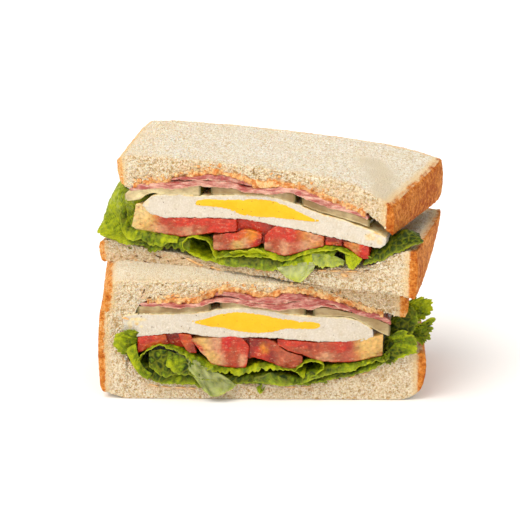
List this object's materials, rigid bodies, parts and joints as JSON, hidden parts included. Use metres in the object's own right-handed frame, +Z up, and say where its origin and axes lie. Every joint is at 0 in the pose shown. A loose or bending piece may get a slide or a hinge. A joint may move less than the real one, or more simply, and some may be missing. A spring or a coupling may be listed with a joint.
{
  "type": "blt sandwich",
  "caption": "Toast-bread sandwich with ham, pickle, fried egg, tomato and lettuce, cut in two and stacked with the cut faces to the front.",
  "frame": {"origin": "middle of the stack's bounding box, at its bottom", "axes": "+Z up, -Y towards the viewer of the cut faces, +X along the lower half's cut, to the viewer's right"},
  "size_m": [0.1284, 0.0902, 0.0883],
  "materials": {
    "bread": "soft white crumb with a thin golden-brown crust",
    "ham": "moist pink ham",
    "pickle": "wet, translucent olive",
    "egg_white": "smooth, slightly moist",
    "egg_yolk": "set yellow yolk, matt",
    "tomato": "wet red flesh",
    "lettuce": "crisp, thin, semi-gloss leaf"
  },
  "bodies": {
    "root": {"lower_bread_bottom": "bread", "lower_bread_top": "bread", "lower_ham_1": "ham", "lower_ham_2": "ham", "lower_pickle_1": "pickle", "lower_pickle_2": "pickle", "lower_pickle_3": "pickle", "lower_egg_white": "egg_white", "lower_egg_yolk": "egg_yolk", "lower_tomato_1": "tomato", "lower_tomato_2": "tomato", "lower_tomato_3": "tomato", "lower_tomato_4": "tomato", "lower_tomato_5": "tomato", "lower_lettuce_1": "lettuce", "lower_lettuce_2": "lettuce", "lower_lettuce_3": "lettuce", "lower_lettuce_4": "lettuce", "upper_bread_bottom": "bread", "upper_bread_top": "bread", "upper_ham_1": "ham", "upper_ham_2": "ham", "upper_pickle_1": "pickle", "upper_pickle_2": "pickle", "upper_pickle_3": "pickle", "upper_egg_white": "egg_white", "upper_egg_yolk": "egg_yolk", "upper_tomato_1": "tomato", "upper_tomato_2": "tomato", "upper_tomato_3": "tomato", "upper_tomato_4": "tomato", "upper_tomato_5": "tomato", "upper_lettuce_1": "lettuce", "upper_lettuce_2": "lettuce", "upper_lettuce_3": "lettuce", "upper_lettuce_4": "lettuce", "upper_lettuce_end": "lettuce"}
  },
  "joints": []
}
